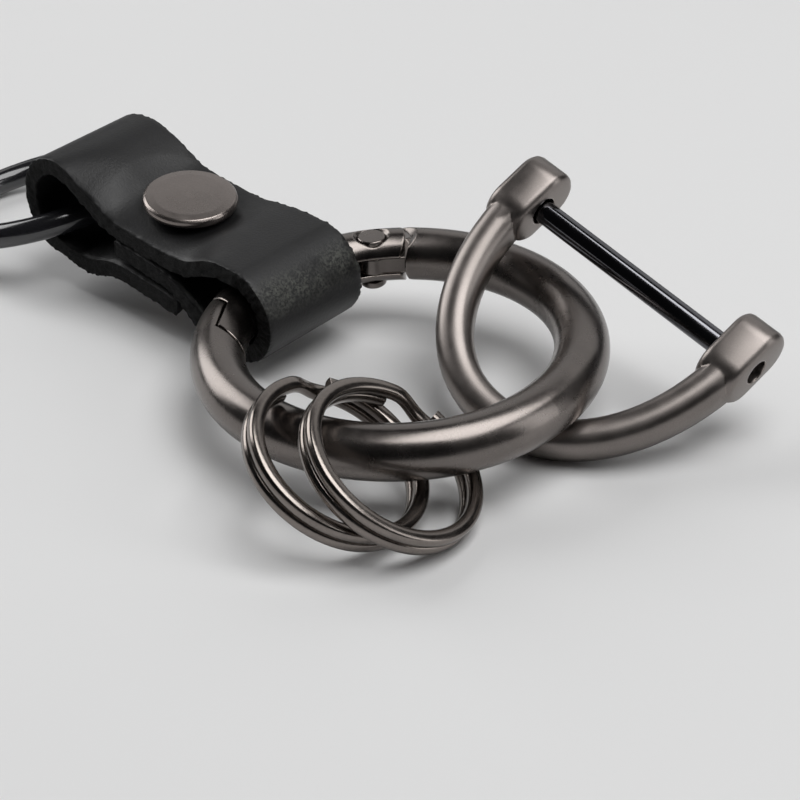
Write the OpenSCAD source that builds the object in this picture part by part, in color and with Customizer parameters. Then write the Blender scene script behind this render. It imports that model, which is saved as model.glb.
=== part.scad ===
// Carabiner keyring: a round spring-gate ring that carries a riveted leather strap, two split rings and
// a shackle with a screw pin. The strap's far loop holds a plain link ring. All sizes are millimetres.
// It lies on the floor (z = 0) with its strap along X, as it settles when it is put down.

/* [Gate ring] */
// Radius of the gate ring's centre line
ring_radius = 17; // [16.9:0.1:17.4]
// Thickness of the gate ring's round bar
ring_bar = 5.2; // [4.9:0.1:5.3]
// Angle round the ring at which the hinge pin sits
hinge_angle = 142.3; // [139:0.1:145]
// Radius of the gate's round heel about the hinge pin
heel_radius = 3.3; // [3.1:0.1:3.5]
// Gap between the gate's heel and the body's hollow shoulder
hinge_gap = 0.55; // [0.4:0.05:0.6]
// Gap along the seams of the nose
nose_gap = 0.22; // [0.15:0.01:0.3]
// Angle round the ring at which the body's hook ends
nose_starts = 206.5; // [205:0.5:209]
// Angle round the ring at which the gate's tip ends
nose_ends = 220; // [217:0.5:223]
// How far the nose's middle seam leans from the ring's tangent
nose_lean = 0; // [-4:1:6]
// How far the nose's middle seam lies inside the ring's centre line
nose_inset = 0.25; // [0:0.05:0.4]

/* [Gate works] */
// Thickness of the tongue that the gate's two cheeks straddle
tongue_thick = 1.7; // [1.5:0.1:1.9]
// Radius of the tongue's nose about the hinge pin
tongue_radius = 2.1; // [2:0.05:2.2]
// Distance from the hinge pin to the flat on the tongue's nose
tongue_flat = 1.95; // [1.85:0.05:2]
// Radius of the hinge pin's shank
hinge_pin_radius = 0.75; // [0.65:0.05:0.85]
// Radius of the hinge pin's heads
hinge_head_radius = 1.38; // [1.2:0.02:1.44]
// Radius of the plunger that the spring drives against the tongue
plunger_radius = 0.85; // [0.75:0.05:0.9]
// Depth of the spring's bore from the hinge pin
spring_bore_depth = 9.3; // [8.8:0.1:9.6]

/* [Split rings] */
// Radius of a split ring's centre line
split_radius = 8.2; // [8:0.05:8.3]
// Width of the split rings' wire across the ring
split_wire_wide = 1.4; // [1.2:0.05:1.5]
// Height of one turn of the split rings' wire
split_wire_tall = 1.16; // [1.05:0.01:1.18]
// Angle over which the wire steps from its lower turn to its upper turn
split_step = 26; // [20:1:34]

/* [Shackle] */
// Distance between the bow's two limbs at the pin, bar middle to bar middle
ear_spacing = 27.3; // [27:0.1:27.6]
// Distance from the pin's axis to the bow's centre line at its apex
bow_depth = 18.8; // [18.5:0.1:19.1]
// Squareness of the bow: 2 is an ellipse
bow_squareness = 2.11; // [2.05:0.01:2.2]
// Width of the bow's bar in the bow's plane, at its apex
bow_bar_wide = 3.6; // [3.2:0.05:3.7]
// Height of the bow's bar out of its plane, at its apex
bow_bar_tall = 4.15; // [3.8:0.05:4.2]
// Radius of an ear's round ends
ear_radius = 2.5; // [2.4:0.05:2.7]
// Thickness of an ear along the pin
ear_thick = 4.3; // [4:0.1:4.6]
// Distance from the pin's axis to the middle of an ear's far round end
ear_reach = 1.75; // [1.5:0.05:2]
// Radius of the shackle's pin
shackle_pin_radius = 1.15; // [1:0.01:1.18]

/* [Strap] */
// Width of the leather strap
strap_width = 12.7; // [11.5:0.1:12.8]
// Thickness of the leather
strap_thick = 1.9; // [1.7:0.05:1.95]
// Room between the gate ring's bar and the leather bent round it
strap_room = 0.55; // [0.5:0.05:0.7]

/* [Rivet] */
// Diameter of the rivet's top cap
cap_diameter = 9.5; // [8.5:0.1:10]
// Height of a rivet cap
cap_height = 1.15; // [1:0.05:1.3]
// Diameter of the rivet's lower cap
base_diameter = 8.8; // [8:0.1:9]
// Radius of the rivet's post
post_radius = 1.5; // [1.3:0.05:1.6]

/* [Link ring] */
// Radius of the link ring's centre line
link_radius = 11.5; // [11.3:0.1:11.8]
// Thickness of the link ring's round bar
link_bar = 2.6; // [2.3:0.1:2.7]

/* [Hidden] */
$fn = 96;

// Centre of the gate ring seen from above, measured from the middle of the whole object's outline
home = [17.6, 1.65];

// How the pieces lie: height of the ring's centre and its roll about the strap's length
ring_height = 6.75;
ring_roll = 3;

// Split rings: squareness of their wire and the share of its step at which each end stops; then for
// each ring its centre, downhill tilt, downhill direction and the place of its wire's step
split_squareness = 3.4;
end_share = 0.62;
split_a_centre = [8.1, -16.8, 5.63];
split_a_tilt = 32.6;
split_a_downhill = 18.1;
split_a_step_at = 144;
split_b_centre = [12.05, -13.95, 5.74];
split_b_tilt = 33.6;
split_b_downhill = 20.5;
split_b_step_at = 104;

// Shackle: where the middle of its bow crosses under the ring, the turns that lay it on the floor, how
// much its bar swells towards the ears, and the ears
shackle_apex = [10.09, 1.7, 2.96];
shackle_turn = [28.5, 15.5, -0.7];
bar_swell = [0.3, 0.5];
bow_bar_squareness = 2.5;
ear_inset = 0.2;
ear_foot = 1.5;
ear_round = 0.7;
ear_wall = 1.2;

// Shackle's pin: length of its relief in the slotted ear, room behind its thread, how deep its slotted
// end is sunk, its thread, its end's bevel, and the depth and width of its slot
pin_relief = 1;
pin_end_room = 0.3;
pin_sunk = 0.8;
thread_depth = 0.12;
thread_pitch = 0.5;
thread_turns = 5;
pin_bevel = 0.2;
pin_slot = [0.6, 0.4];

// Length of a cut that passes right through a piece
through = 30;

// Fits and small clearances
slide_gap = 0.1;
running_gap = 0.06;
press_gap = 0.02;
pin_clearance = 0.1;
cap_clearance = 0.1;
coil_gap = 0.04;

// Hinge: how far the pin sits inside the ring's centre line, the angle round the ring that the gate
// takes, the widening of the hollow shoulder's mouth, and the neck that carries the tongue
hinge_inset = 0.3;
gate_sweep = 93;
mouth_flare = [-0.2, 0.8];
mouth_depth = 1;
neck_turn = 97;
neck_wide = 3.6;
neck_root = 1.2;

// Gate works along the line from the hinge pin into the gate
bore_direction = hinge_angle + 100.7;
slot_depth = 2.75;
plunger_rest = 2;
plunger_length = 2.6;
plunger_stub = 1;
plunger_bevel = 0.3;
spring_turns = 6;
spring_wire = 0.28;
spring_slack = 0.4;
spring_mean_radius = plunger_radius - spring_wire / 2 - coil_gap;

// Hinge pin: its heads' seats above and below the ring's plane, and their thickness
head_seat = 1.75;
head_top = 2.42;
button_seat = 2.2;
button_bottom = 3.05;
button_round = 0.5;
head_round = 0.15;
head_groove = 0.3;

// Strap: middle of its width, centre and radius of its bend round the ring, and the heights of its
// under layer, its tail and its top layer at the rivet
strap_middle = 0.15;
strap_slack = 1;
bend_centre = strap_slack - ring_radius;
strap_bend = ring_bar / 2 + strap_room + strap_thick / 2;
under_layer = -0.95;
tail_layer = 1.6;
top_layer = 3.9;

// Rivet: place from the strap's bend, lean, the seats of its caps on the outer layers, and the depth
// of the post's socket in the top cap, and the rise of a cap's middle over its rim
rivet_at = [-13, 0.4];
rivet_lean = 6;
rivet_seat = top_layer + strap_thick / 2;
rivet_bottom = under_layer - strap_thick / 2;
seat_gap = 0.02;
post_socket = 0.5;
cap_crown = 0.06;

// Centre line of the leather from the bend's centre: under layer, far loop, top layer; then the tail
// that comes back from the bend to the middle of the stack
top_run = [
    [-8.4, -1.6], [-13, under_layer], [-17.5, -0.6], [-21, -1.6], [-25, -2.15], [-28.3, -1.2],
    [-29.6, 1.6], [-29.2, 4.7], [-27.2, 6.7], [-24, 7.15], [-20.6, 6], [-17.6, 4.4],
    [-13, top_layer], [-8.4, 3.5], [-4, strap_bend - 0.05]
];
tail_run = [
    [-3, 0.45 - strap_bend], [-5.2, -2.1], [-7.3, -0.05], [-9.7, 1.1], [-13, tail_layer], [-17.2, 2.1]
];

// Link ring: where its bar crosses the strap's far loop, and how far it leans down to the floor
link_bar_at = [-24.3, 0.15, 1.05];
link_lean = 16.3;
link_gap_angle = 1.5;

hinge_at = (ring_radius - hinge_inset) * [cos(hinge_angle), sin(hinge_angle)];
hook_reach = norm(ring_radius * [cos(nose_starts), sin(nose_starts)] - hinge_at);
tip_reach = norm(ring_radius * [cos(nose_ends), sin(nose_ends)] - hinge_at);

// Power that keeps the sign of its base
function signed_power(v, e) = sign(v) * pow(abs(v), e);

// Outline of a rounded bar, from a circle (square = 2) to nearly a rectangle (square = 6)
function bar_outline(wide, tall, square, steps) = [
    for (i = [0:steps - 1])
        let (a = 360 * i / steps)
            [wide / 2 * signed_power(cos(a), 2 / square), tall / 2 * signed_power(sin(a), 2 / square)]
];

// Rounded edge of a turned piece, from one angle of its quarter circle to another
function rim(radius, level, round, from, to) = [
    for (a = [from:30:to]) [radius - round + round * cos(a), level + round * sin(a)]
];

// Point on a smooth curve through four points, between the middle two
function curve_point(p0, p1, p2, p3, t) =
    0.5 * (2 * p1 + (p2 - p0) * t + (2 * p0 - 5 * p1 + 4 * p2 - p3) * t * t
        + (3 * p1 - p0 - 3 * p2 + p3) * t * t * t);

// Smooth curve through a list of points, with some steps between each pair
function smooth(points, steps) = [
    for (i = [0:len(points) - 2])
        for (k = [0:steps - (i == len(points) - 2 ? 0 : 1)])
            curve_point(
                points[max(i - 1, 0)], points[i], points[i + 1], points[min(i + 2, len(points) - 1)],
                k / steps
            )
];

// Unit normal of a flat curve at one of its points, to the left of its direction
function left_normal(path, i) =
    let (d = path[min(i + 1, len(path) - 1)] - path[max(i - 1, 0)])
        [-d[1], d[0]] / norm(d);

// Solid skinned over a list of equal rings of points, with both ends closed
module skin(rings) {
    sides = len(rings[0]);
    count = len(rings);
    polyhedron(
        points = [for (ring = rings) for (p = ring) p],
        faces = concat(
            [[for (i = [sides - 1:-1:0]) i]],
            [
                for (j = [0:count - 2])
                    for (i = [0:sides - 1])
                        let (a = j * sides + i, b = j * sides + (i + 1) % sides)
                            for (f = [[a, b, a + sides], [b, b + sides, a + sides]]) f
            ],
            [[for (i = [0:sides - 1]) (count - 1) * sides + i]]
        )
    );
}

// Puts a piece that is drawn in the gate ring's own plane where the ring lies
module in_ring() {
    translate([home[0], home[1], ring_height]) rotate([ring_roll, 0, 0]) children();
}

// Puts a piece that is drawn at the hinge pin, with x along the spring's bore, into the ring's plane
module at_hinge(direction) {
    translate([hinge_at[0], hinge_at[1], 0]) rotate([0, 0, direction]) children();
}

// Whole round ring before the gate is cut out of it
module ring_bar_solid() {
    rotate_extrude() translate([ring_radius, 0]) circle(d = ring_bar, $fn = 64);
}

// Part of the ring's plane that the gate takes, grown by the gaps at its heel and nose
module gate_area(heel_gap, tip_gap) {
    far = 2 * ring_radius;
    translate(hinge_at) circle(r = heel_radius + heel_gap);
    intersection() {
        polygon(concat([[0, 0]], [
            for (i = [0:4])
                let (a = hinge_angle + gate_sweep * i / 4)
                    far * [cos(a), sin(a)]
        ]));
        union() {
            translate(hinge_at) circle(r = hook_reach + tip_gap);
            intersection() {
                translate(hinge_at) circle(r = tip_reach + tip_gap);
                rotate((nose_starts + nose_ends) / 2)
                    translate([ring_radius - nose_inset, 0])
                        rotate(90 - nose_lean)
                            translate([-ring_radius, -tip_gap]) square([far, ring_radius]);
            }
        }
    }
}

// Body of the gate ring: hook at the nose, hollow shoulder and tongue at the hinge
module ring_body() {
    shoulder = heel_radius + hinge_gap;
    color("dimgray") in_ring() {
        difference() {
            ring_bar_solid();
            translate([0, 0, -ring_bar]) linear_extrude(2 * ring_bar) gate_area(hinge_gap, nose_gap);
            for (side = [0, 1]) mirror([0, 0, side])
                translate([hinge_at[0], hinge_at[1], ring_bar / 2 - mouth_depth])
                    cylinder(
                        r1 = shoulder + mouth_flare[0],
                        r2 = shoulder + mouth_flare[1],
                        h = mouth_depth + slide_gap
                    );
        }
        difference() {
            union() {
                at_hinge(hinge_angle - neck_turn) translate([0, -neck_wide / 2, -tongue_thick / 2])
                    cube([shoulder + neck_root, neck_wide, tongue_thick]);
                at_hinge(0) cylinder(r = tongue_radius, h = tongue_thick, center = true);
            }
            at_hinge(bore_direction) translate([tongue_flat, -through / 2, -through / 2]) cube(through);
            at_hinge(0) cylinder(r = hinge_pin_radius + running_gap, h = through, center = true);
        }
    }
}

// Gate: two cheeks over the tongue, a bore for the spring, and a tip behind the body's hook
module gate() {
    slot = tongue_thick + 2 * slide_gap;
    color("gray") in_ring() difference() {
        intersection() {
            ring_bar_solid();
            translate([0, 0, -ring_bar]) linear_extrude(2 * ring_bar) gate_area(0, 0);
        }
        at_hinge(bore_direction) {
            translate([slot_depth - through / 2, -through / 2, -slot / 2])
                cube([through / 2, through, slot]);
            rotate([0, 90, 0]) cylinder(r = plunger_radius + slide_gap / 2, h = spring_bore_depth);
        }
        at_hinge(0) {
            cylinder(r = hinge_pin_radius + press_gap, h = through, center = true);
            translate([0, 0, head_seat]) cylinder(r = hinge_head_radius + press_gap, h = through);
            translate([0, 0, head_top - head_groove])
                cylinder(
                    r1 = hinge_head_radius,
                    r2 = hinge_head_radius + 2 * head_groove,
                    h = 2 * head_groove
                );
            translate([0, 0, -button_seat - through])
                cylinder(r = hinge_head_radius + press_gap, h = through);
        }
    }
}

// Hinge pin: flush flat head on top, button head below
module hinge_pin() {
    color("silver") in_ring() at_hinge(0) rotate_extrude() polygon(concat(
        [[0, -button_bottom]],
        rim(hinge_head_radius, button_round - button_bottom, button_round, -90, 0),
        [
            [hinge_head_radius, -button_seat], [hinge_pin_radius, -button_seat],
            [hinge_pin_radius, head_seat], [hinge_head_radius, head_seat]
        ],
        rim(hinge_head_radius, head_top - head_round, head_round, 0, 90),
        [[0, head_top]]
    ));
}

// Plunger that the spring holds against the tongue's flat
module gate_plunger() {
    back = plunger_rest + plunger_length;
    stub = spring_mean_radius - spring_wire;
    color("silver") in_ring() at_hinge(bore_direction) rotate([90, 0, 90]) rotate_extrude() polygon([
        [0, plunger_rest], [plunger_radius - plunger_bevel, plunger_rest],
        [plunger_radius, plunger_rest + plunger_bevel],
        [plunger_radius, back], [stub, back], [stub, back + plunger_stub], [0, back + plunger_stub]
    ]);
}

// Coil spring behind the plunger
module gate_spring() {
    start = plunger_rest + plunger_length + spring_wire / 2 + coil_gap;
    length = spring_bore_depth - spring_slack - spring_wire / 2 - start;
    steps = 14 * spring_turns;
    color("lightgray") in_ring() at_hinge(bore_direction) rotate([0, 90, 0]) translate([0, 0, start]) skin([
        for (i = [0:steps])
            let (a = 360 * spring_turns * i / steps)
                [
                    for (p = bar_outline(spring_wire, spring_wire, 2, 6))
                        let (r = spring_mean_radius + p[0])
                            [r * cos(a), r * sin(a), length * i / steps + p[1]]
                ]
    ]);
}

// Split ring of two turns of wire: the lower turn steps up into the upper one, both ends cut square
module split_ring(centre, tilt, downhill, step_at) {
    pitch = split_wire_tall + coil_gap;
    reach = 360 - split_step * end_share;
    outline = bar_outline(split_wire_wide, split_wire_tall, split_squareness, 12);
    coarse = [for (a = [split_step / 2 + 5:5:reach - 1]) a];
    fine = [for (a = [-split_step / 2:split_step / 8:split_step / 2]) a];
    angles = concat([-reach], [for (i = [len(coarse) - 1:-1:0]) -coarse[i]], fine, coarse, [reach]);
    translate([home[0] + centre[0], home[1] + centre[1], centre[2]])
        rotate([0, tilt, downhill])
            rotate([0, 0, step_at])
                skin([
                    for (a = angles)
                        let (rise = pitch / 2 * sin(90 * max(-1, min(1, 2 * a / split_step))))
                            [
                                for (p = outline)
                                    let (r = split_radius + p[0])
                                        [r * cos(a), r * sin(a), rise + p[1]]
                            ]
                ]);
}

module split_ring_a() {
    color("darkgray") split_ring(split_a_centre, split_a_tilt, split_a_downhill, split_a_step_at);
}

module split_ring_b() {
    color("darkgray") split_ring(split_b_centre, split_b_tilt, split_b_downhill, split_b_step_at);
}

// Puts a piece that is drawn about the shackle's pin, x along the pin and y away from the bow, in place
module in_shackle() {
    translate([home[0] + shackle_apex[0], home[1] + shackle_apex[1], shackle_apex[2]])
        rotate(shackle_turn) translate([0, bow_depth, 0]) children();
}

// Disc along x with rounded rims
module rounded_disc(radius, thick, round) {
    rotate([0, 90, 0]) rotate_extrude($fn = 32) polygon(concat(
        [[0, -thick / 2]],
        rim(radius, round - thick / 2, round, -90, 0),
        rim(radius, thick / 2 - round, round, 0, 90),
        [[0, thick / 2]]
    ));
}

// Bow of the shackle with its two ears
module shackle_bow() {
    half = ear_spacing / 2;
    bend = 2 / bow_squareness;
    path = [
        for (a = [0:4:180])
            [half * signed_power(cos(a), bend), -bow_depth * pow(sin(a), bend)]
    ];
    color("dimgray") in_shackle() difference() {
        union() {
            skin([
                for (i = [0:len(path) - 1])
                    let (
                        n = left_normal(path, i),
                        near_ear = pow(1 + path[i][1] / bow_depth, 2),
                        wide = bow_bar_wide + bar_swell[0] * near_ear,
                        tall = bow_bar_tall + bar_swell[1] * near_ear
                    )
                        [
                            for (p = bar_outline(wide, tall, bow_bar_squareness, 16))
                                [path[i][0] - n[0] * p[0], path[i][1] - n[1] * p[0], p[1]]
                        ]
            ]);
            for (side = [-1, 1]) translate([side * (half - ear_inset), 0, 0]) hull()
                for (y = [-ear_foot, ear_reach])
                    translate([0, y, 0]) rounded_disc(ear_radius, ear_thick, ear_round);
        }
        rotate([0, 90, 0]) {
            translate([0, 0, ear_wall - half - ear_thick / 2])
                cylinder(r = shackle_pin_radius + pin_clearance, h = ear_spacing + ear_thick);
            translate([0, 0, ear_inset - half + ear_thick / 2 - pin_relief])
                cylinder(r = shackle_pin_radius + 3 * pin_clearance, h = 2 * pin_relief);
        }
    }
}

// Screw pin of the shackle: threaded at the upper ear, slotted at the lower one
module shackle_pin() {
    start = pin_end_room + ear_wall - ear_spacing / 2 - ear_thick / 2;
    end = ear_spacing / 2 + ear_thick / 2 - ear_inset - pin_sunk;
    thread = [[shackle_pin_radius - thread_depth, 0], [shackle_pin_radius, thread_pitch / 2]];
    color("black") in_shackle() difference() {
        rotate([90, 0, 90]) rotate_extrude() polygon(concat(
            [[0, start]],
            [for (i = [0:thread_turns - 1]) for (p = thread) [p[0], start + i * thread_pitch + p[1]]],
            [[shackle_pin_radius, end - pin_bevel], [shackle_pin_radius - pin_bevel, end], [0, end]]
        ));
        translate([end - pin_slot[0], -through / 2, -pin_slot[1] / 2])
            cube([through, through, pin_slot[1]]);
    }
}

// Leather strap: one strip folded into two loops, both tails riveted under its top layer
module strap() {
    bend = [for (a = [90:-15:-105]) strap_bend * [cos(a), sin(a)]];
    path = smooth(concat(top_run, bend, tail_run), 3);
    sides = [
        for (s = [1, -1])
            [for (i = [0:len(path) - 1]) path[i] + s * strap_thick / 2 * left_normal(path, i)]
    ];
    count = len(path);
    color("black") in_ring() difference() {
        translate([bend_centre, strap_middle + strap_width / 2, 0])
            rotate([90, 0, 0])
                linear_extrude(strap_width)
                    polygon(concat(sides[0], [for (i = [count - 1:-1:0]) sides[1][i]]));
        at_rivet() {
            cylinder(r = post_radius + cap_clearance, h = through, center = true, $fn = 48);
            translate([0, 0, rivet_seat]) cylinder(d = cap_diameter + 2 * cap_clearance, h = through);
            translate([0, 0, rivet_bottom - through])
                cylinder(d = base_diameter + 2 * cap_clearance, h = through);
        }
    }
}

// Puts a piece that is drawn on the rivet's axis in place, heights measured from the ring's plane
module at_rivet() {
    translate([bend_centre + rivet_at[0], rivet_at[1], 0]) rotate([0, rivet_lean, 0]) children();
}

// Outline of half a rivet cap, flat side at height 0, with a rolled rim
function cap_half(radius, height) = concat(
    [[0, 0]],
    rim(radius, height / 2, height / 2, -60, 60),
    [[radius - height, height], [0, height + cap_crown]]
);

// Top cap of the rivet
module rivet_cap() {
    color("dimgray") in_ring() at_rivet() translate([0, 0, rivet_seat + seat_gap]) difference() {
        rotate_extrude() polygon(cap_half(cap_diameter / 2, cap_height));
        translate([0, 0, post_socket - through])
            cylinder(r = post_radius + press_gap, h = through, $fn = 48);
    }
}

// Lower cap of the rivet with the post that the top cap is pressed onto
module rivet_base() {
    post_length = rivet_seat - rivet_bottom + cap_height / 2 + post_socket - slide_gap;
    color("dimgray") in_ring() at_rivet() {
        translate([0, 0, rivet_bottom - seat_gap]) mirror([0, 0, 1])
            rotate_extrude() polygon(cap_half(base_diameter / 2, cap_height));
        translate([0, 0, rivet_bottom - cap_height / 2])
            cylinder(r = post_radius, h = post_length, $fn = 48);
    }
}

// Link ring of round wire through the strap's far loop
module link_ring() {
    color("black") in_ring()
        translate([bend_centre, 0, 0] + link_bar_at)
            rotate([0, -link_lean, 0])
                translate([-link_radius, 0, 0])
                    rotate([0, 0, 90 + link_gap_angle])
                        rotate_extrude(angle = 360 - link_gap_angle)
                            translate([link_radius, 0]) circle(d = link_bar, $fn = 48);
}

ring_body();
gate();
hinge_pin();
gate_spring();
gate_plunger();
split_ring_a();
split_ring_b();
shackle_bow();
shackle_pin();
strap();
rivet_cap();
rivet_base();
link_ring();
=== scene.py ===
import math

import bpy
from mathutils import Matrix, Vector


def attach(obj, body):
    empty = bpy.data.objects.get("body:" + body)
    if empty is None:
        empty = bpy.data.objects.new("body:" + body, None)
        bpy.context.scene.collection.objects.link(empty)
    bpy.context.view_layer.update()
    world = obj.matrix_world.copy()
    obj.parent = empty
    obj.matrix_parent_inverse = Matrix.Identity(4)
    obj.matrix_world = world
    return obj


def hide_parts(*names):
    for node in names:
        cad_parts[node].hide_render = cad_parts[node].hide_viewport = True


bl_info = {
    "name": "Carabiner Keyring",
    "version": (1, 0, 0),
    "blender": (4, 5, 0),
    "location": "View3D > Sidebar > Keyring",
    "description": "Finishes, leather strap, smooth wire pieces, studio and camera of a keyring",
    "category": "Add Mesh",
}

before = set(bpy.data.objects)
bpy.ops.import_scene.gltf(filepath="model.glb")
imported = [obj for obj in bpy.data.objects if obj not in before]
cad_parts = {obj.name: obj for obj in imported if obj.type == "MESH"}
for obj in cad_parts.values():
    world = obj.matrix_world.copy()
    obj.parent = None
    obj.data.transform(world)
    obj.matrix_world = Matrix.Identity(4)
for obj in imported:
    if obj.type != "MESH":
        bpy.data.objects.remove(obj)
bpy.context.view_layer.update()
MM = 0.001

# Where the gate ring's own plane lies, and how far it is rolled
RING_HOME = Vector((17.6, 1.65, 6.75)) * MM
RING_ROLL = math.radians(3)

# The leather's centre line in that plane, x along and z up, in millimetres: from its first tail
# round the far loop to the top, then a bend round the gate, then its second tail
FAR_LOOP = [
    (-24.4, -1.6), (-29, -0.95), (-33.5, -0.6), (-37, -1.6), (-41, -2.15), (-44.3, -1.2),
    (-45.6, 1.6), (-45.2, 4.7), (-43.2, 6.7), (-40, 7.15), (-36.6, 6), (-33.6, 4.4),
    (-29, 3.9), (-24.4, 3.5), (-20, 4.05),
]
BEND_CENTRE = -16
BEND_RADIUS = 4.1
BEND_ANGLES = range(90, -106, -15)
SECOND_TAIL = [(-19, -3.65), (-21.2, -2.1), (-23.3, -0.05), (-25.7, 1.1), (-29, 1.6), (-33.2, 2.1)]
STRAP_MIDDLE = 0.15

# The strap's mesh: steps between two points of the line, cuts across its width, the rounding of
# its edges, and how far sideways a face looks before it counts as a cut edge
LINE_STEPS = 3
CROSS_CUTS = 11
EDGE_ROUND = 0.2 * MM
SHARP_ANGLE = math.radians(50)
CUT_FACE = 0.6

# Lumps of fibre: how far they reach in from a cut edge, and their size
FRAY_REACH = 0.5 * MM
FRAY_SIZE = 0.5 * MM

# The near edge hangs between two stretches along the strap, and the top layer is pressed round
# the rivet. Each pair goes from none to all, in millimetres
HANG_PAST_FAR_LOOP = (-42, -37)
HANG_BEFORE_GATE = (-18, -23)
PRESS_REACH = (7.5, 5)
RIVET_AT = (-29, 0.4)
TOP_LAYER = 1.8 * MM

# Soft lamps: name, bearing and height in degrees, distance, width and length in metres, share of
# the lamp level
LAMPS = (
    ("Top Lamp", 27, 72, 0.6, 0.46, 0.4, 1.9),
    ("Right Lamp", 28, 22, 0.6, 0.22, 0.46, 0.8),
    ("Left Lamp", 189, 30, 0.6, 0.34, 0.44, 1.5),
    ("Back Panel", 118, 30, 0.8, 1.0, 0.6, 0.26),
)
FLOOR_SIZE = 4
CAMERA_AT = Vector((151.49, -141.88, 123.31)) * MM
CAMERA_TILT = math.radians(58.05)
CAMERA_BEARING = math.radians(43)


# ---------------------------------------------------------------- settings


class MetalSettings(bpy.types.PropertyGroup):
    """Colours of the metal finishes"""

    gunmetal: bpy.props.FloatVectorProperty(
        name="Satin gunmetal",
        description="Plating of the gate ring, the gate, the hinge pin and the shackle",
        subtype="COLOR", size=3, min=0, max=1, default=(0.175, 0.157, 0.147),
    )
    # Also the colour of the rubbed edges, where it is lightened as a painted highlight
    bright: bpy.props.FloatVectorProperty(
        name="Polished nickel", description="Plating of the split rings, the spring and the polished edges",
        subtype="COLOR", size=3, min=0, max=1, default=(0.27, 0.24, 0.22),
    )
    black: bpy.props.FloatVectorProperty(
        name="Black nickel", description="Plating of the shackle's pin",
        subtype="COLOR", size=3, min=0, max=1, default=(0.13, 0.13, 0.14),
    )
    rivet: bpy.props.FloatVectorProperty(
        name="Rivet", description="Plating of the rivet's caps",
        subtype="COLOR", size=3, min=0, max=1, default=(0.24, 0.212, 0.198),
    )
    lacquer: bpy.props.FloatVectorProperty(
        name="Black lacquer", description="Finish of the link ring",
        subtype="COLOR", size=3, min=0, max=1, default=(0.012, 0.012, 0.014),
    )
    satin: bpy.props.FloatProperty(
        name="Satin roughness", description="Roughness of the satin gunmetal",
        subtype="FACTOR", min=0.05, max=0.8, default=0.27,
    )


class LeatherSettings(bpy.types.PropertyGroup):
    """Size and colours of the leather strap"""

    width: bpy.props.FloatProperty(
        name="Width", description="Width of the strap",
        unit="LENGTH", min=0.011, max=0.0128, default=0.0127,
    )
    thickness: bpy.props.FloatProperty(
        name="Thickness", description="Thickness of the leather", unit="LENGTH",
        min=0.0016, max=0.00195, default=0.0019,
    )
    sag: bpy.props.FloatProperty(
        name="Sag", description="How far the strap's near edge hangs below its middle",
        unit="LENGTH", min=0, max=0.0013, default=0.0012,
    )
    press: bpy.props.FloatProperty(
        name="Press", description="How far the rivet's cap presses the top layer down",
        unit="LENGTH", min=0, max=0.0005, default=0.0003,
    )
    fray: bpy.props.FloatProperty(
        name="Fray", description="Height of the lumps along the strap's cut edges",
        unit="LENGTH", min=0, max=0.0006, default=0.0005,
    )
    face: bpy.props.FloatVectorProperty(
        name="Grain side", description="Dye of the smooth side",
        subtype="COLOR", size=3, min=0, max=1, default=(0.005, 0.005, 0.0055),
    )
    edge: bpy.props.FloatVectorProperty(
        name="Cut edge", description="Dye of the rough cut edges and the flesh side",
        subtype="COLOR", size=3, min=0, max=1, default=(0.01, 0.01, 0.01),
    )


class StageSettings(bpy.types.PropertyGroup):
    """Floor, lamps and camera"""

    floor: bpy.props.FloatVectorProperty(
        name="Floor", description="Colour of the pale floor",
        subtype="COLOR", size=3, min=0, max=1, default=(0.76, 0.76, 0.76),
    )
    lamp_level: bpy.props.FloatProperty(
        name="Lamp level", description="Brightness of the soft lamps' own faces",
        min=0, max=10, default=2.4,
    )
    room: bpy.props.FloatVectorProperty(
        name="Room", description="Dim light of the room round the lamps",
        subtype="COLOR", size=3, min=0, max=1, default=(0.012, 0.012, 0.013),
    )
    lens: bpy.props.FloatProperty(
        name="Lens", description="Focal length of the camera",
        unit="CAMERA", min=50, max=200, default=110,
    )


# ---------------------------------------------------------------- shader helpers


def add(tree, kind, x, y, **values):
    """A node at a place, with values for its properties and its named or numbered inputs"""
    made = tree.nodes.new(kind)
    made.location = (x, y)
    for key, value in values.items():
        if hasattr(made, key):
            setattr(made, key, value)
        else:
            made.inputs[key.replace("_", " ")].default_value = value
    return made


def plug(tree, value, target):
    """Links a socket to an input, or sets the input to a number"""
    if isinstance(value, bpy.types.NodeSocket):
        tree.links.new(value, target)
    else:
        target.default_value = value


def tint(colour, amount):
    """A colour made darker or lighter, with no channel over 1"""
    return [min(1, channel * amount) for channel in colour]


def math_node(tree, x, y, operation, first, second=None):
    """A Math node whose inputs are sockets or numbers"""
    made = add(tree, "ShaderNodeMath", x, y, operation=operation)
    for place, value in enumerate((first, second)):
        if value is not None:
            plug(tree, value, made.inputs[place])
    return made.outputs[0]


def span(tree, x, y, value, low, high, to_low=0.0, to_high=1.0):
    """A Map Range node from low-high to to_low-to_high"""
    made = add(tree, "ShaderNodeMapRange", x, y)
    made.inputs["From Min"].default_value = low
    made.inputs["From Max"].default_value = high
    made.inputs["To Min"].default_value = to_low
    made.inputs["To Max"].default_value = to_high
    tree.links.new(value, made.inputs["Value"])
    return made.outputs["Result"]


def blend_colour(tree, x, y, mask, first, second):
    """A colour mix by a mask; each colour is a socket or three numbers"""
    made = add(tree, "ShaderNodeMix", x, y, data_type="RGBA")
    tree.links.new(mask, made.inputs["Factor"])
    for key, value in ((6, first), (7, second)):
        plug(tree, value if isinstance(value, bpy.types.NodeSocket) else (*value, 1), made.inputs[key])
    return made.outputs[2]


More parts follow.
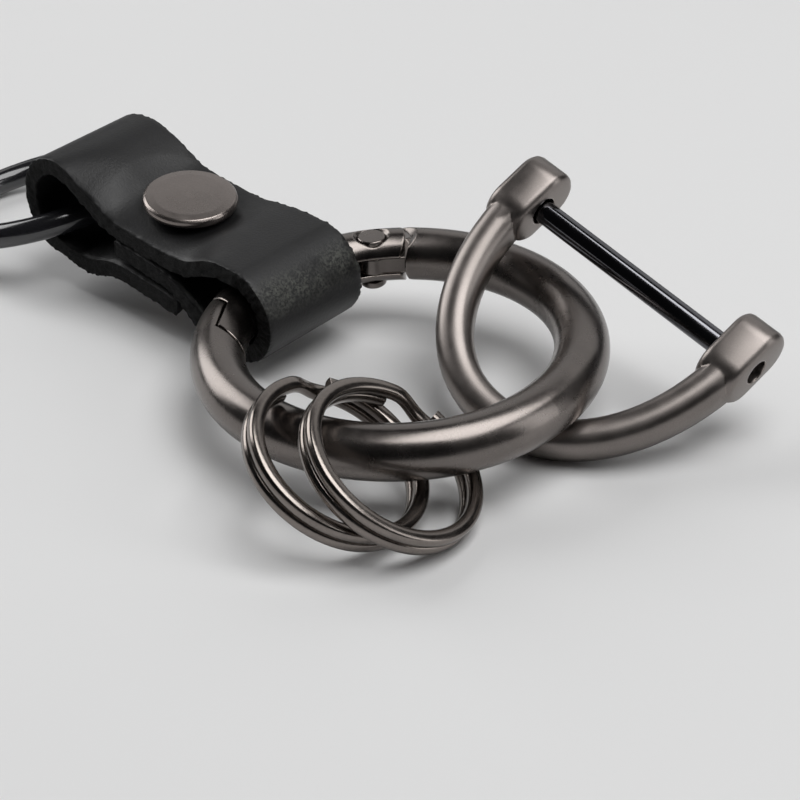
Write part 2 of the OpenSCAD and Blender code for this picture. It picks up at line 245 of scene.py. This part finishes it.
def effect(name, inputs, outputs):
    """An empty shader group with a vector input and named number inputs and outputs"""
    tree = bpy.data.node_groups.new(name, "ShaderNodeTree")
    tree.interface.new_socket("Vector", in_out="INPUT", socket_type="NodeSocketVector")
    for key, value in inputs.items():
        socket = tree.interface.new_socket(key, in_out="INPUT", socket_type="NodeSocketFloat")
        socket.default_value = value
    for key in outputs:
        tree.interface.new_socket(key, in_out="OUTPUT", socket_type="NodeSocketFloat")
    return tree, add(tree, "NodeGroupInput", -900, 0), add(tree, "NodeGroupOutput", 700, 0)


def noise(tree, x, y, vector, scale, detail=4, roughness=0.55):
    """A Noise Texture's value; scale is a socket or a number"""
    made = add(tree, "ShaderNodeTexNoise", x, y, Detail=detail, Roughness=roughness)
    tree.links.new(vector, made.inputs["Vector"])
    plug(tree, scale, made.inputs["Scale"])
    return made.outputs["Fac"]


def build_effects():
    """The effects that the materials are made of"""
    tree, start, end = effect("Fine Grain", {"Scale": 9000}, ("Height", "Fleck"))
    fine = noise(tree, -600, 200, start.outputs["Vector"], start.outputs["Scale"], 3, 0.6)
    wide = noise(tree, -600, -100, start.outputs["Vector"],
                 math_node(tree, -760, -100, "MULTIPLY", start.outputs["Scale"], 0.22), 2, 0.5)
    soft = math_node(tree, -200, 0, "MULTIPLY", wide, 0.6)
    tree.links.new(math_node(tree, 0, 100, "ADD", fine, soft), end.inputs["Height"])
    tree.links.new(span(tree, 0, -200, fine, 0.38, 0.66), end.inputs["Fleck"])

    tree, start, end = effect("Tone Drift", {"Scale": 180}, ("Tone",))
    slow = noise(tree, -600, 100, start.outputs["Vector"], start.outputs["Scale"], 5, 0.6)
    tree.links.new(span(tree, -200, 100, slow, 0.32, 0.68), end.inputs["Tone"])

    # Edges found where the Bevel normal turns from the surface, broken into patches: a mask for rubbed wear
    # and a painted highlight on the edges, and the Bevel normal itself
    tree, start, end = effect("Worn Edge And Painted Highlight", {"Width": 0.0002, "Breakup": 900}, ("Mask",))
    bevel = add(tree, "ShaderNodeBevel", -600, 200, samples=8)
    tree.links.new(start.outputs["Width"], bevel.inputs["Radius"])
    tree.interface.new_socket("Normal", in_out="OUTPUT", socket_type="NodeSocketVector")
    tree.links.new(bevel.outputs["Normal"], end.inputs["Normal"])
    place = add(tree, "ShaderNodeNewGeometry", -600, -50)
    dot = add(tree, "ShaderNodeVectorMath", -400, 100, operation="DOT_PRODUCT")
    tree.links.new(bevel.outputs["Normal"], dot.inputs[0])
    tree.links.new(place.outputs["Normal"], dot.inputs[1])
    turn = span(tree, -200, 100, dot.outputs["Value"], 0.995, 0.86)
    patches = noise(tree, -500, -300, start.outputs["Vector"], start.outputs["Breakup"])
    wear_and_highlight = span(tree, -200, -200, patches, 0.25, 0.6, 0.35, 1)
    tree.links.new(math_node(tree, 200, 0, "MULTIPLY", turn, wear_and_highlight), end.inputs["Mask"])

    tree, start, end = effect("Leather Grain", {"Scale": 2200, "Crackle": 0.0}, ("Height", "Fleck"))
    cells = add(tree, "ShaderNodeTexVoronoi", -600, 250, feature="DISTANCE_TO_EDGE", Randomness=1)
    bent = add(tree, "ShaderNodeVectorMath", -750, 250, operation="ADD")
    wander = add(tree, "ShaderNodeTexNoise", -900, 300, Scale=1500, Detail=2)
    shift = add(tree, "ShaderNodeVectorMath", -820, 150, operation="SCALE", Scale=0.0004)
    tree.links.new(start.outputs["Vector"], wander.inputs["Vector"])
    tree.links.new(wander.outputs["Color"], shift.inputs[0])
    tree.links.new(start.outputs["Vector"], bent.inputs[0])
    tree.links.new(shift.outputs["Vector"], bent.inputs[1])
    tree.links.new(bent.outputs["Vector"], cells.inputs["Vector"])
    tree.links.new(start.outputs["Scale"], cells.inputs["Scale"])
    pebble = span(tree, -400, 250, cells.outputs["Distance"], 0, 0.22)
    pores = noise(tree, -600, -50, start.outputs["Vector"], 5200, 4, 0.65)
    rough = noise(tree, -600, -300, start.outputs["Vector"], 3600, 5, 0.7)
    crackle = math_node(tree, -150, -250, "MULTIPLY", span(tree, -350, -300, rough, 0.42, 0.6),
                        start.outputs["Crackle"])
    base = math_node(tree, -150, 100, "ADD", math_node(tree, -250, 250, "MULTIPLY", pebble, 0.5),
                     math_node(tree, -250, 0, "MULTIPLY", pores, 0.6))
    raised = math_node(tree, 0, -150, "MULTIPLY", crackle, 1.4)
    tree.links.new(math_node(tree, 100, 50, "ADD", base, raised), end.inputs["Height"])
    tree.links.new(crackle, end.inputs["Fleck"])

    tree, start, end = effect("Fibres", {"Scale": 1800}, ("Height", "Tone"))
    lumps = noise(tree, -600, 200, start.outputs["Vector"], start.outputs["Scale"], 6, 0.75)
    threads = noise(tree, -600, -100, start.outputs["Vector"],
                    math_node(tree, -760, -100, "MULTIPLY", start.outputs["Scale"], 4.5), 4, 0.8)
    hairs = math_node(tree, -300, 0, "MULTIPLY", threads, 0.55)
    tree.links.new(math_node(tree, -100, 100, "ADD", lumps, hairs), end.inputs["Height"])
    tree.links.new(span(tree, -100, -150, threads, 0.4, 0.7), end.inputs["Tone"])


def use(tree, name, x, y, vector, **values):
    """A shared effect placed in a material"""
    made = add(tree, "ShaderNodeGroup", x, y, node_tree=bpy.data.node_groups[name])
    tree.links.new(vector, made.inputs["Vector"])
    for key, value in values.items():
        plug(tree, value, made.inputs[key])
    return made.outputs


def bump(tree, shader, height, distance, normal=None):
    """Raises a height on a material, over another normal where one is given"""
    made = add(tree, "ShaderNodeBump", 300, -200, Strength=1.0, Distance=distance)
    tree.links.new(height, made.inputs["Height"])
    if normal is not None:
        tree.links.new(normal, made.inputs["Normal"])
    tree.links.new(made.outputs["Normal"], shader.inputs["Normal"])


def material(name):
    """A material with a bare Principled BSDF, its tree, its shader and its object coordinates"""
    made = bpy.data.materials.new(name)
    made.use_nodes = True
    tree = made.node_tree
    shader = tree.nodes["Principled BSDF"]
    shader.location = (600, 200)
    tree.nodes["Material Output"].location = (900, 200)
    place = add(tree, "ShaderNodeTexCoord", -1100, 0)
    return made, tree, shader, place.outputs["Object"]


def metal(name, colour, polish_and_highlight, rough, rough_drift=0.06, grain=9000, depth=0.0015, edge=0.0002, drift=180,
          edge_highlight_gain=1.5):
    """Plated metal: slow drift of tone, fine satin grain, and edges rubbed bright and lightened further as
    a painted highlight
    """
    made, tree, shader, place = material(name)
    shader.inputs["Metallic"].default_value = 1
    tone = use(tree, "Tone Drift", -800, 300, place, Scale=drift)["Tone"]
    flecks = use(tree, "Fine Grain", -800, 0, place, Scale=grain)
    edge_wear_and_highlight = use(tree, "Worn Edge And Painted Highlight", -800, -300, place, Width=edge)
    wear_and_highlight = edge_wear_and_highlight["Mask"]
    plain = blend_colour(tree, -500, 300, tone, tint(colour, 0.86), tint(colour, 1.1))
    flecked = blend_colour(tree, -300, 300, math_node(tree, -500, 100, "MULTIPLY", flecks["Fleck"], 0.35),
                           plain, tint(colour, 1.35))
    # Edges take the polished colour, made lighter still by the edge gain: rubbed wear plus a painted
    # highlight
    shown = blend_colour(tree, 0, 300, wear_and_highlight, flecked, tint(polish_and_highlight, edge_highlight_gain))
    tree.links.new(shown, shader.inputs["Base Color"])
    satin = span(tree, -300, 0, tone, 0, 1, rough - rough_drift, rough + rough_drift)
    smooth = math_node(tree, 0, 0, "MULTIPLY", satin, span(tree, -150, -150, wear_and_highlight, 0, 1, 1, 0.6))
    tree.links.new(smooth, shader.inputs["Roughness"])
    bump(tree, shader, flecks["Height"], depth * MM, edge_wear_and_highlight["Normal"])
    return made


def lacquer(name, colour):
    """Gloss black lacquer over steel"""
    made, tree, shader, place = material(name)
    shader.inputs["Coat Weight"].default_value = 0.6
    shader.inputs["Coat Roughness"].default_value = 0.06
    shader.inputs["IOR"].default_value = 1.6
    tone = use(tree, "Tone Drift", -800, 300, place, Scale=260)["Tone"]
    flecks = use(tree, "Fine Grain", -800, 0, place, Scale=5000)
    wear_and_highlight = use(tree, "Worn Edge And Painted Highlight", -800, -300, place, Width=0.0002)["Mask"]
    plain = blend_colour(tree, -300, 300, tone, tint(colour, 0.8), tint(colour, 1.4))
    # Edges turned grey: wear of the lacquer plus a painted highlight on the rims
    tree.links.new(blend_colour(tree, 0, 300, wear_and_highlight, plain, (0.12, 0.12, 0.12)), shader.inputs["Base Color"])
    tree.links.new(span(tree, 0, 0, flecks["Fleck"], 0, 1, 0.14, 0.26), shader.inputs["Roughness"])
    bump(tree, shader, flecks["Height"], 0.0008 * MM)
    return made


def leather_face(name, colour):
    """Smooth dyed grain side, which crackles where it is bent round the ring"""
    made, tree, shader, place = material(name)
    shader.inputs["Specular IOR Level"].default_value = 0.4
    apart = add(tree, "ShaderNodeSeparateXYZ", -1200, -300)
    tree.links.new(place, apart.inputs["Vector"])
    rise = math_node(tree, -1050, -300, "SUBTRACT", apart.outputs["Z"], RING_HOME.z)
    along = math_node(tree, -1050, -500, "SUBTRACT", apart.outputs["X"], RING_HOME.x + BEND_CENTRE * MM)
    turn = math_node(tree, -900, -400, "ARCTAN2", rise, along)
    begins = span(tree, -750, -350, turn, 0.05, 0.5)
    ends = span(tree, -750, -600, turn, 1.1, 0.7)
    band = math_node(tree, -600, -400, "MULTIPLY", begins, ends)
    outside = math_node(tree, -450, -500, "MULTIPLY", band, span(tree, -750, -850, along, 0.002, 0.003))
    patchy = span(tree, -850, -1100, noise(tree, -1050, -1100, place, 420, 3), 0.3, 0.6)
    crackle = math_node(tree, -300, -500, "MULTIPLY", outside, patchy)
    grain = use(tree, "Leather Grain", -400, -300, place, Crackle=crackle)
    tone = use(tree, "Tone Drift", -800, 300, place, Scale=220)["Tone"]
    plain = blend_colour(tree, -300, 300, tone, tint(colour, 0.75), tint(colour, 1.3))
    tree.links.new(blend_colour(tree, 0, 300, grain["Fleck"], plain, (0.09, 0.093, 0.081)),
                   shader.inputs["Base Color"])
    tree.links.new(span(tree, 0, 0, tone, 0, 1, 0.4, 0.5), shader.inputs["Roughness"])
    bump(tree, shader, grain["Height"], 0.012 * MM)
    return made


def leather_cut(name, colour):
    """Fibrous cut edge and flesh side"""
    made, tree, shader, place = material(name)
    shader.inputs["Specular IOR Level"].default_value = 0.25
    fibres = use(tree, "Fibres", -800, 0, place, Scale=1800)
    shown = blend_colour(tree, 0, 300, fibres["Tone"], tint(colour, 0.2), tint(colour, 2.6))
    tree.links.new(shown, shader.inputs["Base Color"])
    tree.links.new(span(tree, 0, 0, fibres["Tone"], 0, 1, 0.8, 0.95), shader.inputs["Roughness"])
    bump(tree, shader, fibres["Height"], 0.3 * MM)
    return made


def paper(name, colour):
    """Pale matt floor"""
    made, tree, shader, place = material(name)
    tone = use(tree, "Tone Drift", -800, 300, place, Scale=7)["Tone"]
    shown = blend_colour(tree, 0, 300, tone, tint(colour, 0.99), colour)
    tree.links.new(shown, shader.inputs["Base Color"])
    tree.links.new(span(tree, 0, 0, tone, 0, 1, 0.55, 0.6), shader.inputs["Roughness"])
    return made


# ---------------------------------------------------------------- modelling helpers


def select_only(piece):
    """Leaves one object selected and active"""
    bpy.ops.object.select_all(action="DESELECT")
    piece.select_set(True)
    bpy.context.view_layer.objects.active = piece


def coat(piece, made):
    """Gives an object one material"""
    piece.data.materials.clear()
    piece.data.materials.append(made)


def apply_modifier(piece, kind, **values):
    """Adds a modifier to an object, sets it and applies it"""
    select_only(piece)
    bpy.ops.object.modifier_add(type=kind)
    made = piece.modifiers[-1]
    for key, value in values.items():
        setattr(made, key, value)
    bpy.ops.object.modifier_apply(modifier=made.name)


def smooth_copy(node, name, body, angle):
    """A copy of a CAD node with its triangles merged and shaded smooth, which stands for the node"""
    piece = bpy.data.objects.new(name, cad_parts[node].data.copy())
    bpy.context.scene.collection.objects.link(piece)
    select_only(piece)
    bpy.ops.object.mode_set(mode="EDIT")
    bpy.ops.mesh.select_all(action="SELECT")
    bpy.ops.mesh.remove_doubles(threshold=1e-6)
    bpy.ops.mesh.customdata_custom_splitnormals_clear()
    bpy.ops.object.mode_set(mode="OBJECT")
    bpy.ops.object.shade_smooth_by_angle(angle=math.radians(angle))
    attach(piece, body)
    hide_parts(node)
    return piece


def ramp(value, none, full):
    """How far a value has come from none to full, held between 0 and 1"""
    return min(1, max(0, (value - none) / (full - none)))


def smooth_points(points, steps):
    """A smooth curve through a list of flat points"""
    count = len(points)
    out = []
    for i in range(count - 1):
        p0, p1, p2, p3 = (Vector(points[min(max(i + k, 0), count - 1)]) for k in (-1, 0, 1, 2))
        for k in range(steps):
            t = k / steps
            out.append(0.5 * (2 * p1 + (p2 - p0) * t + (2 * p0 - 5 * p1 + 4 * p2 - p3) * t * t
                              + (3 * p1 - p0 - 3 * p2 + p3) * t ** 3))
    return out + [Vector(points[-1])]


# ---------------------------------------------------------------- pieces


class KEYRING_OT_metals(bpy.types.Operator):
    """Plates the machined pieces and smooths the wire and cast ones"""

    bl_idname = "keyring.metals"
    bl_label = "Finish the Metal"

    def execute(self, context):
        look = context.scene.keyring_metal
        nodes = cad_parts
        # The edge gains lighten the rubbed edges beyond the polished colour, as a painted highlight as well
        # as wear
        gunmetal = metal("Satin Gunmetal", look.gunmetal, look.bright, look.satin, edge=0.00028,
                         edge_highlight_gain=1.2)
        gate = metal("Satin Gunmetal Gate", look.gunmetal, look.bright, look.satin - 0.02, edge=0.00028,
                     edge_highlight_gain=1.2)
        pin = metal("Turned Pin", look.gunmetal, look.bright, 0.24, grain=7000)
        steel = metal("Spring Steel", look.bright, look.bright, 0.25, edge=0.00005)
        wire = metal("Polished Wire", tint(look.bright, 0.8), look.bright, 0.22, 0.05, grain=4200,
                     depth=0.006, edge=0.00015, drift=320, edge_highlight_gain=1.3)
        black = metal("Black Nickel", look.black, look.bright, 0.12, 0.03, grain=6000, depth=0.0006,
                      edge=0.0001, edge_highlight_gain=0.8)
        rivet = metal("Satin Rivet", look.rivet, look.bright, 0.3, grain=6500, drift=260)
        gloss = lacquer("Black Lacquer", look.lacquer)
        finishes = {
            "ring_body": gunmetal, "gate": gate, "hinge_pin": pin, "gate_spring": steel,
            "gate_plunger": steel, "shackle_pin": black, "rivet_cap": rivet, "rivet_base": rivet,
            "link_ring": gloss,
        }
        for node, finish in finishes.items():
            coat(nodes[node], finish)
        coat(smooth_copy("shackle_bow", "Shackle_Bow", "shackle", 40),
             metal("Satin Gunmetal Cast", tint(look.gunmetal, 1.25), look.bright, look.satin + 0.09,
                   edge=0.0003, edge_highlight_gain=1.2))
        for side in "ab":
            coat(smooth_copy("split_ring_" + side, "Split_Ring_" + side.upper(), "split_ring_" + side,
                             50), wire)
        return {"FINISHED"}


class KEYRING_OT_strap(bpy.types.Operator):
    """Models the leather strap from one ribbon bent through its two loops"""

    bl_idname = "keyring.strap"
    bl_label = "Leather Strap"

    def execute(self, context):
        look = context.scene.keyring_leather
        bend = [
            (BEND_CENTRE + BEND_RADIUS * math.cos(math.radians(a)), BEND_RADIUS * math.sin(math.radians(a)))
            for a in BEND_ANGLES
        ]
        line = smooth_points(FAR_LOOP + bend + SECOND_TAIL, LINE_STEPS)
        path = [Vector((p.x, STRAP_MIDDLE, p.y)) * MM for p in line]
        bpy.ops.object.select_all(action="DESELECT")
        bpy.ops.mesh.primitive_plane_add(size=look.width, location=path[0])
        strap = context.active_object
        strap.name = "Leather_Strap"
        bpy.ops.object.transform_apply(location=True, rotation=True, scale=True)
        for vertex in strap.data.vertices:
            end = path[0] if vertex.co.x > path[0].x else path[1]
            vertex.co.x, vertex.co.z = end.x, end.z
        bpy.ops.object.mode_set(mode="EDIT")
        bpy.ops.mesh.select_all(action="DESELECT")
        bpy.ops.object.mode_set(mode="OBJECT")
        for vertex in strap.data.vertices:
            vertex.select = abs(vertex.co.x - path[1].x) < 1e-7
        for edge in strap.data.edges:
            edge.select = all(strap.data.vertices[v].select for v in edge.vertices)
        bpy.ops.object.mode_set(mode="EDIT")
        bpy.ops.mesh.select_mode(type="EDGE")
        for before, after in zip(path[1:], path[2:]):
            bpy.ops.mesh.extrude_region_move(TRANSFORM_OT_translate={"value": after - before})
        bpy.ops.mesh.select_all(action="SELECT")
        bpy.ops.mesh.normals_make_consistent(inside=False)
        bpy.ops.object.mode_set(mode="OBJECT")
        # Only the edges that cross the strap are cut
        for edge in strap.data.edges:
            a, b = (strap.data.vertices[v].co for v in edge.vertices)
            edge.select = abs(a.y - b.y) > look.width / 2
        for thing in (*strap.data.vertices, *strap.data.polygons):
            thing.select = False
        bpy.ops.object.mode_set(mode="EDIT")
        bpy.ops.mesh.subdivide(number_cuts=CROSS_CUTS)
        bpy.ops.object.mode_set(mode="OBJECT")
        apply_modifier(strap, "SOLIDIFY", thickness=look.thickness, offset=0, use_even_offset=True)
        apply_modifier(strap, "BEVEL", width=EDGE_ROUND, segments=2, limit_method="ANGLE",
                       angle_limit=SHARP_ANGLE)
        apply_modifier(strap, "SUBSURF", levels=2, render_levels=2)
        coat(strap, leather_face("Leather Grain Side", look.face))
        strap.data.materials.append(leather_cut("Leather Cut Edge", look.edge))
        for face in strap.data.polygons:
            face.material_index = 1 if abs(face.normal.y) > CUT_FACE else 0
        self.fray(strap, look)
        self.sag(strap, look)
        strap.data.transform(Matrix.Translation(RING_HOME) @ Matrix.Rotation(RING_ROLL, 4, "X"))
        select_only(strap)
        bpy.ops.object.shade_smooth()
        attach(strap, "strap")
        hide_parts("strap")
        return {"FINISHED"}

    def fray(self, strap, look):
        """Roughens the two cut edges with lumps of leather fibre"""
        edges = strap.vertex_groups.new(name="Cut Edges")
        reach = look.width / 2
        for vertex in strap.data.vertices:
            away = reach - abs(vertex.co.y - STRAP_MIDDLE * MM)
            edges.add([vertex.index], max(0.0, 1 - away / FRAY_REACH), "REPLACE")
        lumps = bpy.data.textures.new("Leather Fray", "CLOUDS")
        lumps.noise_scale = FRAY_SIZE
        lumps.noise_depth = 4
        apply_modifier(strap, "DISPLACE", texture=lumps, strength=look.fray, mid_level=0.62,
                       vertex_group="Cut Edges")

    def sag(self, strap, look):
        """Lets the near edge hang between the two loops, and presses the top layer down round the rivet"""
        for vertex in strap.data.vertices:
            x = vertex.co.x / MM
            side = -vertex.co.y / look.width * 2
            hang = ramp(x, *HANG_PAST_FAR_LOOP) * ramp(x, *HANG_BEFORE_GATE)
            vertex.co.z -= look.sag * max(0, side) ** 2 * hang * hang * (3 - 2 * hang)
            away = math.hypot(x - RIVET_AT[0], vertex.co.y / MM - RIVET_AT[1])
            if vertex.co.z > TOP_LAYER:
                vertex.co.z -= look.press * ramp(away, *PRESS_REACH)


class KEYRING_OT_stage(bpy.types.Operator):
    """Sets the pale floor, the soft lamps, the dim room and the camera"""

    bl_idname = "keyring.stage"
    bl_label = "Floor, Lamps and Camera"

    def execute(self, context):
        look = context.scene.keyring_stage
        scene = context.scene
        bpy.ops.object.select_all(action="DESELECT")
        bpy.ops.mesh.primitive_plane_add(size=FLOOR_SIZE, location=(0, 0, 0))
        floor = context.active_object
        floor.name = "Floor"
        coat(floor, paper("Pale Paper", look.floor))
        for name, bearing, height, away, wide, tall, share in LAMPS:
            self.lamp(name, bearing, height, away, wide, tall, share * look.lamp_level)
        world = bpy.data.worlds.new("Room")
        scene.world = world
        world.use_nodes = True
        world.node_tree.nodes["Background"].inputs["Color"].default_value = (*look.room, 1)
        bpy.ops.object.camera_add(location=CAMERA_AT, rotation=(CAMERA_TILT, 0, CAMERA_BEARING))
        camera = context.active_object
        camera.data.lens = look.lens
        camera.data.clip_start = 0.01
        scene.camera = camera
        scene.view_settings.view_transform = "Standard"
        return {"FINISHED"}

    def lamp(self, name, bearing, height, away, wide, tall, level):
        """A soft lamp aimed at the keyring, from a bearing and a height in degrees"""
        turn, rise = math.radians(bearing), math.radians(height)
        toward = Vector((math.cos(turn) * math.cos(rise), math.sin(turn) * math.cos(rise), math.sin(rise)))
        spot = toward * away
        aim = spot.to_track_quat("Z", "Y").to_euler()
        bpy.ops.object.light_add(type="AREA", location=spot, rotation=aim)
        made = bpy.context.active_object
        made.name = name
        made.data.shape = "RECTANGLE"
        made.data.size = wide
        made.data.size_y = tall
        made.data.energy = level * math.pi * wide * tall


class KEYRING_PT_pieces(bpy.types.Panel):
    """Settings and pieces of the keyring"""

    bl_label = "Keyring"
    bl_idname = "KEYRING_PT_pieces"
    bl_space_type = "VIEW_3D"
    bl_region_type = "UI"
    bl_category = "Keyring"

    def draw(self, context):
        for group, operator in (
            (context.scene.keyring_metal, KEYRING_OT_metals),
            (context.scene.keyring_leather, KEYRING_OT_strap),
            (context.scene.keyring_stage, KEYRING_OT_stage),
        ):
            box = self.layout.box()
            for key in group.bl_rna.properties.keys():
                if key not in ("rna_type", "name"):
                    box.prop(group, key)
            box.operator(operator.bl_idname)


GROUPS = {
    "keyring_metal": MetalSettings,
    "keyring_leather": LeatherSettings,
    "keyring_stage": StageSettings,
}
OPERATORS = (KEYRING_OT_metals, KEYRING_OT_strap, KEYRING_OT_stage)


def register():
    for key, group in GROUPS.items():
        bpy.utils.register_class(group)
        setattr(bpy.types.Scene, key, bpy.props.PointerProperty(type=group))
    for made in (*OPERATORS, KEYRING_PT_pieces):
        bpy.utils.register_class(made)


def unregister():
    for made in (KEYRING_PT_pieces, *OPERATORS):
        bpy.utils.unregister_class(made)
    for key, group in GROUPS.items():
        delattr(bpy.types.Scene, key)
        bpy.utils.unregister_class(group)


def main():
    """Makes the whole scene"""
    register()
    build_effects()
    bpy.ops.keyring.stage()
    bpy.ops.keyring.metals()
    bpy.ops.keyring.strap()


if __name__ == "__main__":
    main()
